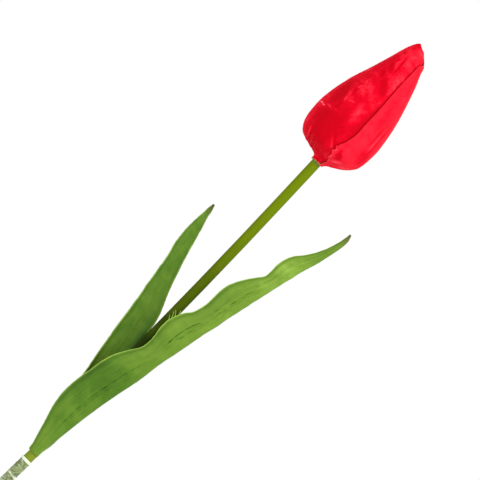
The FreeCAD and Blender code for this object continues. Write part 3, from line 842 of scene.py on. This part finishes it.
def outer_petal_place(bud, turn, edges, top, folds, base, worn):
    """Where the cloth of an outer petal lies and its shade, for the sheet's maker."""
    centre = bud.seam_angle + bud.petal_angle / 2.0 + turn * THIRD
    lap_depth = (bud.cloth + bud.layer_gap) / MM * bud.petal_angle / THIRD
    foot = edges[0][0]
    mean_top = 0.97
    own_pattern = 40.0 * turn

    def side_at(u, where):
        """The angle from the petal's middle, at a place across it and up the outline."""
        low, high = smooth_row(edges, where)
        return low + (high - low) * (u + 1.0) / 2.0

    def place(u, v):
        tip = smooth_row(top, side_at(u, foot + (mean_top - foot) * v))[0]
        where = foot + (tip - foot) * v
        side = math.radians(side_at(u, where))
        angle = centre + side
        depth = lap_depth * (side / bud.petal_angle + 0.5)
        depth = min(max(depth, 0.0), lap_depth)
        x, y, z = bud_point(bud, where, angle, depth)
        in_front = y < 2.0
        # Front dents and folds with their painted shade and highlight
        dent, tone = folds_at(folds, x, z) if in_front else (0.0, 0.0)
        still = Vector((x, y, z + own_pattern))
        crumple = ripple(still, CRUMPLE_SIZE) + 0.5 * ripple(still, FINE_CRUMPLE_SIZE, octaves=2)
        swell = ripple(Vector((still.x, still.y, still.z * 0.5)), SWELL_SIZE, octaves=2)
        frill = ripple(Vector((math.degrees(angle) * 0.12, 7.0, z * 0.05)), 1.0, octaves=2)
        above_foot = smooth_step(where, 0.03, 0.12)
        lift = SEAM_LIFT * smooth_step(-u, FRAY_SIDE, 1.0) * above_foot
        depth += above_foot * worn * (bud.crumple / MM * crumple + SWELL_DEPTH * swell) + dent
        depth += FRILL_DEPTH * frill * stretch(where, 0.02, 0.07, 0.10, 0.24) - lift
        # base is painted shade of the whole petal; worn, how crumpled it is, scales painted crumple
        # shade
        tone += base + worn * (CRUMPLE_SHADE * crumple + SWELL_SHADE * swell)
        if turn == 0 and where < FRAY_TOP and u < -FRAY_SIDE:
            fray = ripple(Vector((0.0, 3.0, z)), FRAY_SIZE, octaves=2)
            angle += FRAY_TURN * fray * smooth_step(-u, 0.96, 1.0)
            at_edge = smooth_step(-u, 0.965, 0.995) * smooth_step(FRAY_TOP - where, 0.0, 0.03)
            tone -= (0.28 + 0.9 * fray) * at_edge
        return from_bud(*bud_point(bud, where, angle, depth)), tone

    return place


def make_outer_petals(bud):
    """The three lapped petals of the outer ring."""
    cloth, edge = petal_material(bud), mottled("petal_cut_edge", tint(bud, "red"))
    for name, turn, edges, top, folds, tone, worn in OUTER_PETALS:
        place = outer_petal_place(bud, turn, edges, top, folds, tone, worn)
        petal = new_object(f"{name}_cloth", cloth_grid(OUTER_PETAL_GRID, place), cloth, edge)
        thicken(petal, bud.cloth, rim=1)
        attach(petal, "head")
        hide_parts(name)


def make_inner_petals(bud):
    """The three petals inside the outer ones, drawn in at the mouth of the bud."""
    cloth = mottled("inner_petal_cloth", tint(bud, "inner_red"))
    for index in range(3):
        centre = bud.seam_angle + bud.petal_angle / 2.0 + (index - 0.5) * THIRD

        def place(u, v):
            narrow = 1.0 + 0.04 * v ** 6 - 0.18 * (1.0 - v) ** 6
            where = INNER_FOOT + (INNER_TOP * (1.0 - 0.03 * u * u) - INNER_FOOT) * v
            shoulder, mouth = smooth_step(v, 0.6, 0.9), smooth_step(v, 0.91, 1.0)
            depth = INNER_DEPTH + (SHOULDER_DRAW * shoulder + MOUTH_DRAW * mouth)
            angle = centre + u * INNER_HALF_ANGLE * narrow
            x, y, z = bud_point(bud, where, angle, depth)
            fold = INNER_FOLD_DEPTH * ripple(Vector((x, y, z + 90.0 * index)), INNER_FOLD_SIZE)
            return from_bud(*bud_point(bud, where, angle, depth + fold)), fold

        petal = new_object(f"inner_petal_{index + 1}_cloth", cloth_grid(INNER_PETAL_GRID, place),
                           cloth)
        thicken(petal, bud.cloth)
        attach(petal, "head")
        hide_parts(f"inner_petal_{index + 1}")


def loose_threads(name, paths, radii, material):
    """A piece of loose threads, whose paths give a point for each share of their length."""
    bm = bmesh.new()
    last = len(radii) - 1
    for path in paths:
        tube(bm, [path(step / last) for step in range(len(radii))], radii, sides=6)
    return new_object(name, closed(bm), material)


def foot_thread_path(angle, reach, drop):
    """The path of a thread that hangs round the petals' cut feet."""
    def path(t):
        radius = THREAD_START + (THREAD_END - THREAD_START) * t * t
        swing = math.radians(angle) + reach * t / THREAD_END
        return from_bud(radius * math.sin(swing), -radius * math.cos(swing),
                        THREAD_HEIGHT - drop * t * t)
    return path


def make_foot_threads():
    """Loose threads where the petals' cut feet meet the stem."""
    paths = [foot_thread_path(*thread) for thread in FOOT_THREADS]
    threads = loose_threads("petal_foot_threads", paths, FOOT_THREAD_RADII,
                            mottled("petal_thread", linear(244, 150, 150)))
    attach(threads, "head")


def leaf_shape(leaf, which):
    """A function for points of a leaf, from places across and along it and an offset outwards."""
    form = LEAVES[which]
    full_height, reach, lean, full_bow = (getattr(leaf, f"{which}_{size}") / MM
                                          for size in ("length", "reach", "lean", "bow"))
    first, last = form.margins
    clear = leaf.clear / MM
    clasp_top = LEAF_FOOT + leaf.clasp / MM * 0.6
    free_above = LEAF_FOOT + leaf.clasp / MM * 1.2

    def point_at(across, along, offset):
        left, right, setback, bow = smooth_row(form.sections, along)
        z = LEAF_FOOT + full_height * along
        hold = 1.0 - smooth_step(z, clasp_top, free_above)
        wide = max(reach * (right - left) / 2.0, clear * hold)
        deep = max(full_bow * bow, clear - lean * setback)
        middle = stem_x(z) + reach * (left + right) / 2.0
        wrapped = 1.0 - smooth_step(z, LEAF_FOOT, clasp_top)
        grip = 1.0 - (1.0 - leaf.foot_margin) * wrapped
        angle = math.radians(first + (last - first) * (across + 1.0) / 2.0) * grip
        out = Vector((deep * math.sin(angle), wide * math.cos(angle)))
        out = out / out.length * offset
        return Vector((middle + wide * math.sin(angle) + out.x,
                       form.side * (lean * setback + deep * math.cos(angle) + out.y), z))

    return point_at


def wire_swell(across, along):
    """How far a leaf's outer ply stands off over its wire, as a share of the wire's room."""
    return stretch(along, -0.04, 0.02, 0.92, 0.98) * smooth_step(1.0 - abs(across) / 0.3)


def leaf_cloth_place(form, point_at, offset, swell):
    """Where one ply of a leaf lies and its shade, for the sheet's maker."""
    def place(u, v):
        shade, groove = 0.0, 0.0
        along = PATTERN_LENGTH * v
        for line, start, end, deep in form.veins:
            reach = stretch(v, start, start + VEIN_EASE, end - VEIN_EASE, end)
            dots = 0.55 + 1.3 * ripple(Vector((40.0 * line, along, 2.0)), VEIN_DOT_SIZE, octaves=2)
            near = hill(u, line, VEIN_WIDTH) * reach * max(0.15, dots)
            groove += deep * near
            # Painted shade in the pressed veins
            shade += VEIN_SHADE * deep * near
        # Painted shade and light from the leaf's table
        for centre_u, centre_v, wide, high, depth in form.shades:
            shade += depth * hill(u, centre_u, wide) * hill(v, centre_v, high)
        crease = ripple(Vector((6.0 * u, along, 20.0 * form.side)), CREASE_SIZE)
        outwards = offset + swell * wire_swell(u, v) - (groove if swell else 0.0)
        point = point_at(u, v, outwards + CREASE_LIFT * crease * smooth_step(v, 0.10, 0.2))
        wave = ripple(Vector((3.0 * u, along, 4.0)), MARGIN_WAVE_SIZE, octaves=2)
        point.x += MARGIN_WAVE * wave * abs(u) ** 8
        # Along the margins a bright line, partly painted highlight, fainter low on the leaf
        rim = hill(1.0 - abs(u), 0.0, form.rim_width if u < 0.0 else RIGHT_RIM_WIDTH)
        inside = hill(1.0 + u, 2.2 * form.rim_width, form.rim_width)
        # A darker band inside the left margin; the creases get painted shade and light
        shade = (shade + 0.25 * inside) * (1.0 - rim) + CREASE_SHADE * crease
        return point, shade - form.rim_shade * rim * (0.4 + 0.6 * smooth_step(v, 0.14, 0.34))

    return place


def make_leaf(leaf, which, rim=None):
    """A leaf's outer ply, inner ply and wire, which clasp the stem at its foot and lean away above
    it.
    """
    form, point_at = LEAVES[which], leaf_shape(leaf, which)
    for part, offset, swell, grid, slot in (
            ("outer_ply", leaf.ply / MM, leaf.wire_room / MM, OUTER_PLY_GRID, "leaf_green"),
            ("inner_ply", -PLY_GAP, 0.0, INNER_PLY_GRID, "leaf_inner")):
        bm = cloth_grid(grid, leaf_cloth_place(form, point_at, offset, swell))
        if form.side > 0:
            bmesh.ops.reverse_faces(bm, faces=bm.faces)
        cloth = leaf_material(f"{which}_leaf_{part}", leaf, form)
        sheet = new_object(f"{which}_leaf_{part}_cloth", bm, cloth, rim or cloth)
        thicken(sheet, leaf.ply, rim=1)
        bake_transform(sheet)
        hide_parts(f"{which}_leaf_{part}")

    bm = bmesh.new()
    steps = 60
    radius = leaf.wire / MM
    points = [point_at(0.0, WIRE_START + WIRE_RUN * step / steps, radius + WIRE_GAP)
              for step in range(steps + 1)]
    tube(bm, points, [radius] * len(points), sides=12)
    wire = new_object(f"{which}_leaf_wire_core", closed(bm), bpy.data.materials["steel_wire"])
    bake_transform(wire)
    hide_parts(f"{which}_leaf_wire")


def leaf_thread_path(root, reach, rise):
    """The path of a thread that stands off a leaf's cut edge and droops at its end."""
    def path(t):
        return root + Vector((reach * (0.4 * t + 0.6 * t * t), -0.4 * math.sin(3.0 * t),
                              rise * t - 0.5 * t * t))
    return path


def make_leaf_threads(leaf, edge):
    """Loose threads at the wavy cut edge of the long leaf."""
    point_at = leaf_shape(leaf, "long")
    paths = [leaf_thread_path(point_at(-1.0, along, 0.1), reach, rise)
             for along, reach, rise in LEAF_THREADS]
    threads = loose_threads("long_leaf_threads", paths, LEAF_THREAD_RADII, edge)
    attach(threads, "long_leaf")


def make_wrap_film(wrap, stem):
    """The crinkled film round the stem, with a proud edge at each lap."""
    low, high = (corner.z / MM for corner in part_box("clear_wrap"))
    pitch = wrap.lap_pitch / MM
    base = stem.radius / MM + FILM_ROOM

    def place(u, v):
        turn = math.pi * u
        z = low + (high - low) * v
        lap = ((z - low) / pitch + LAP_START + 0.06 * math.sin(turn)) % 1.0
        proud = wrap.lap_height / MM * hill(lap, LAP_EDGE, LAP_WIDTH)
        still = Vector((math.cos(turn) * 1.6, math.sin(turn) * 1.6, z * 0.5))
        radius = base + proud + wrap.crinkle / MM * abs(noise.turbulence(still, 4, False))
        milk = hill(lap, LAP_EDGE, 0.10) - hill(z, high - CLEAR_STRIP_DOWN, CLEAR_STRIP_WIDTH)
        return Vector((stem_x(z) + radius * math.sin(turn), -radius * math.cos(turn), z)), milk

    bm = cloth_grid(FILM_GRID, place)
    bmesh.ops.remove_doubles(bm, verts=bm.verts, dist=MERGE_DISTANCE)
    film = new_object("clear_wrap_film", bm, film_material(wrap))
    thicken(film, wrap.film)
    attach(film, "stem")
    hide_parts("clear_wrap")


def make_wrap_band(wrap):
    """The folded, milky end of the film: an uneven ring with a rounded edge."""
    low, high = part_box("wrap_edge_band")
    middle = (low + high) / 2.0
    inner = BAND_BORE * MM
    outer = (high.x - low.x) / 2.0
    bm = bmesh.new()
    place = Matrix.Translation((middle.x + (inner + outer) / 2.0, 0.0, middle.z))
    section = bmesh.ops.create_circle(bm, cap_ends=False, segments=16, radius=0.5,
                                      matrix=place @ Matrix.Rotation(math.pi / 2.0, 4, "X")
                                      @ Matrix.Diagonal((outer - inner, high.z - low.z, 1.0, 1.0)))
    bmesh.ops.spin(bm, geom=section["verts"] + edges_at(section["verts"]), cent=middle,
                   axis=(0.0, 0.0, 1.0), angle=math.tau, steps=72, use_merge=True,
                   use_duplicate=False)
    closed(bm)
    for vert in bm.verts:
        out = vert.co - middle
        out.z = 0.0
        wave = ripple(Vector((out.x, out.y, vert.co.z)) / MM, BAND_WAVE_SIZE, octaves=2)
        vert.co += out.normalized() * BAND_WAVE_OUT * MM * wave
        vert.co.z += BAND_WAVE_UP * MM * wave
    band = new_object("wrap_edge_fold", bm, mottled("milky_film", tint(wrap, "milky")))
    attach(band, "stem")
    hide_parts("wrap_edge_band")


class TULIP_OT_outer_petals(Operator):
    """Make the three outer petals and the threads at their foot"""
    bl_idname = "tulip.outer_petals"
    bl_label = "Outer petals"

    def execute(self, context):
        make_outer_petals(context.scene.tulip_bud)
        make_foot_threads()
        return {"FINISHED"}


class TULIP_OT_inner_petals(Operator):
    """Make the three inner petals"""
    bl_idname = "tulip.inner_petals"
    bl_label = "Inner petals"

    def execute(self, context):
        make_inner_petals(context.scene.tulip_bud)
        return {"FINISHED"}


class TULIP_OT_bud_mount(Operator):
    """Finish the foam core, the receptacle and the peg"""
    bl_idname = "tulip.bud_mount"
    bl_label = "Core, receptacle and peg"

    def execute(self, context):
        stem = context.scene.tulip_stem
        finish_node("head_peg", mottled("peg_plastic", tint(stem, "top_green")))
        finish_node("receptacle", mottled("receptacle_plastic", tint(stem, "pale_plastic")))
        finish_node("bud_core", foam_material(stem))
        return {"FINISHED"}


class TULIP_OT_stem(Operator):
    """Finish the stem's cover, its wire and the leaf collar"""
    bl_idname = "tulip.stem"
    bl_label = "Stem"

    def execute(self, context):
        stem = context.scene.tulip_stem
        finish_node("stem_sheath", stem_material(stem))
        finish_node("stem_wire", steel_material(stem))
        collar = mottled("collar_plastic", tint(stem, "foot_green"))
        finish_node("leaf_collar", collar)
        return {"FINISHED"}


class TULIP_OT_long_leaf(Operator):
    """Make the long leaf in front of the stem and its loose threads"""
    bl_idname = "tulip.long_leaf"
    bl_label = "Long leaf"

    def execute(self, context):
        leaf = context.scene.tulip_leaf
        edge = mottled("leaf_cut_edge", tint(leaf, "cut_green"))
        make_leaf(leaf, "long", edge)
        make_leaf_threads(leaf, edge)
        return {"FINISHED"}


class TULIP_OT_short_leaf(Operator):
    """Make the short leaf behind the stem"""
    bl_idname = "tulip.short_leaf"
    bl_label = "Short leaf"

    def execute(self, context):
        make_leaf(context.scene.tulip_leaf, "short")
        return {"FINISHED"}


class TULIP_OT_wrap(Operator):
    """Make the wrap of clear film and its folded end"""
    bl_idname = "tulip.wrap"
    bl_label = "Film wrap"

    def execute(self, context):
        make_wrap_film(context.scene.tulip_wrap, context.scene.tulip_stem)
        make_wrap_band(context.scene.tulip_wrap)
        return {"FINISHED"}


def make_lamp(name, strength):
    """A soft square lamp that points at the lamps' target."""
    size, place = LAMPS[name]
    lamp = bpy.data.lights.new(f"{name}_lamp", "AREA")
    lamp.energy = strength
    lamp.size = size
    holder = bpy.data.objects.new(f"{name}_lamp", lamp)
    bpy.context.scene.collection.objects.link(holder)
    holder.location = place
    aim = Vector(LAMP_TARGET) - Vector(place)
    holder.rotation_euler = aim.to_track_quat("-Z", "Y").to_euler()


def make_world(stage):
    """Even light from all round that looks white to the camera, in reflections and through film."""
    world = bpy.data.worlds.new("studio")
    bpy.context.scene.world = world
    world.use_nodes = True
    world.node_tree.nodes.clear()
    make = Nodes(world.node_tree)
    rays = make.add("ShaderNodeLightPath").outputs
    seen = make.math("MAXIMUM", rays["Is Camera Ray"], rays["Is Glossy Ray"])
    seen = make.math("MAXIMUM", seen, rays["Is Transmission Ray"])
    white = {"Color": (1.0, 1.0, 1.0, 1.0)}
    light, plain = (make.add("ShaderNodeBackground", {**white, "Strength": strength}).outputs[0]
                    for strength in (stage.sky, 1.0))
    mix = make.add("ShaderNodeMixShader", {0: seen, 1: light, 2: plain})
    make.add("ShaderNodeOutputWorld", {"Surface": mix.outputs[0]})


def make_floor(stage):
    """A plain pale floor just under the stem's cut end."""
    bm = bmesh.new()
    bmesh.ops.create_circle(bm, cap_ends=True, segments=96, radius=stage.floor_radius,
                            matrix=Matrix.Translation((0.0, 0.0, -0.5 * MM)))
    make = Finish("pale_floor", roughness=0.9, specular=0.1)
    grain = make.math("MULTIPLY", make.noise(make.coordinates(), scale=30.0, detail=2.0), 0.1)
    make.colour(make.mix(grain, tint(stage, "floor_tone"), linear(228, 228, 226)))
    new_object("floor", bm, make.material)


def make_camera(stage):
    """A long lens level with the stem, rolled so that the stem leans as in the picture."""
    data = bpy.data.cameras.new("camera")
    camera = bpy.data.objects.new("camera", data)
    bpy.context.scene.collection.objects.link(camera)
    sine, cosine = math.sin(stage.tilt), math.cos(stage.tilt)
    right, up, back = Vector((sine, 0, cosine)), Vector((-cosine, 0, sine)), Vector((0, -1, 0))
    centre = Vector((-stage.centre_x, 0.0, stage.centre_z))
    turn = Matrix((right, up, back)).transposed().to_4x4()
    camera.matrix_world = Matrix.Translation(centre + back * stage.distance) @ turn
    data.sensor_width = 36.0
    data.lens = data.sensor_width * stage.distance / stage.frame_width
    data.clip_start, data.clip_end = 0.05, 20.0
    bpy.context.scene.camera = camera


class TULIP_OT_stage(Operator):
    """Make the floor, the lamps, the sky and the camera"""
    bl_idname = "tulip.stage"
    bl_label = "Stage"

    def execute(self, context):
        stage = context.scene.tulip_stage
        make_camera(stage)
        make_floor(stage)
        make_world(stage)
        for name in LAMPS:
            make_lamp(name, getattr(stage, f"{name}_power"))
        context.scene.view_settings.view_transform = "Standard"
        return {"FINISHED"}


OPERATORS = (TULIP_OT_stem, TULIP_OT_bud_mount, TULIP_OT_inner_petals, TULIP_OT_outer_petals,
             TULIP_OT_long_leaf, TULIP_OT_short_leaf, TULIP_OT_wrap, TULIP_OT_stage)


class TULIP_PT_panel(Panel):
    """Lists the tulip's pieces and its stage"""
    bl_idname = "TULIP_PT_panel"
    bl_label = "Artificial tulip"
    bl_space_type = "VIEW_3D"
    bl_region_type = "UI"
    bl_category = "Tulip"

    def draw(self, context):
        for operator in OPERATORS:
            self.layout.operator(operator.bl_idname)
        for name, group in SETTINGS.items():
            box = self.layout.box()
            for key in group.__annotations__:
                box.prop(getattr(context.scene, name), key)


def register():
    """Registers the settings, the operators and the panel."""
    for name, group in SETTINGS.items():
        bpy.utils.register_class(group)
        setattr(bpy.types.Scene, name, PointerProperty(type=group))
    for entry in (*OPERATORS, TULIP_PT_panel):
        bpy.utils.register_class(entry)


def unregister():
    """Removes what register added."""
    for entry in (TULIP_PT_panel, *reversed(OPERATORS)):
        bpy.utils.unregister_class(entry)
    for name, group in reversed(SETTINGS.items()):
        delattr(bpy.types.Scene, name)
        bpy.utils.unregister_class(group)


def main():
    """Makes every piece and the stage."""
    register()
    for operator in OPERATORS:
        group, name = operator.bl_idname.split(".")
        getattr(getattr(bpy.ops, group), name)()
    bpy.context.view_layer.update()


if __name__ == "__main__":
    main()
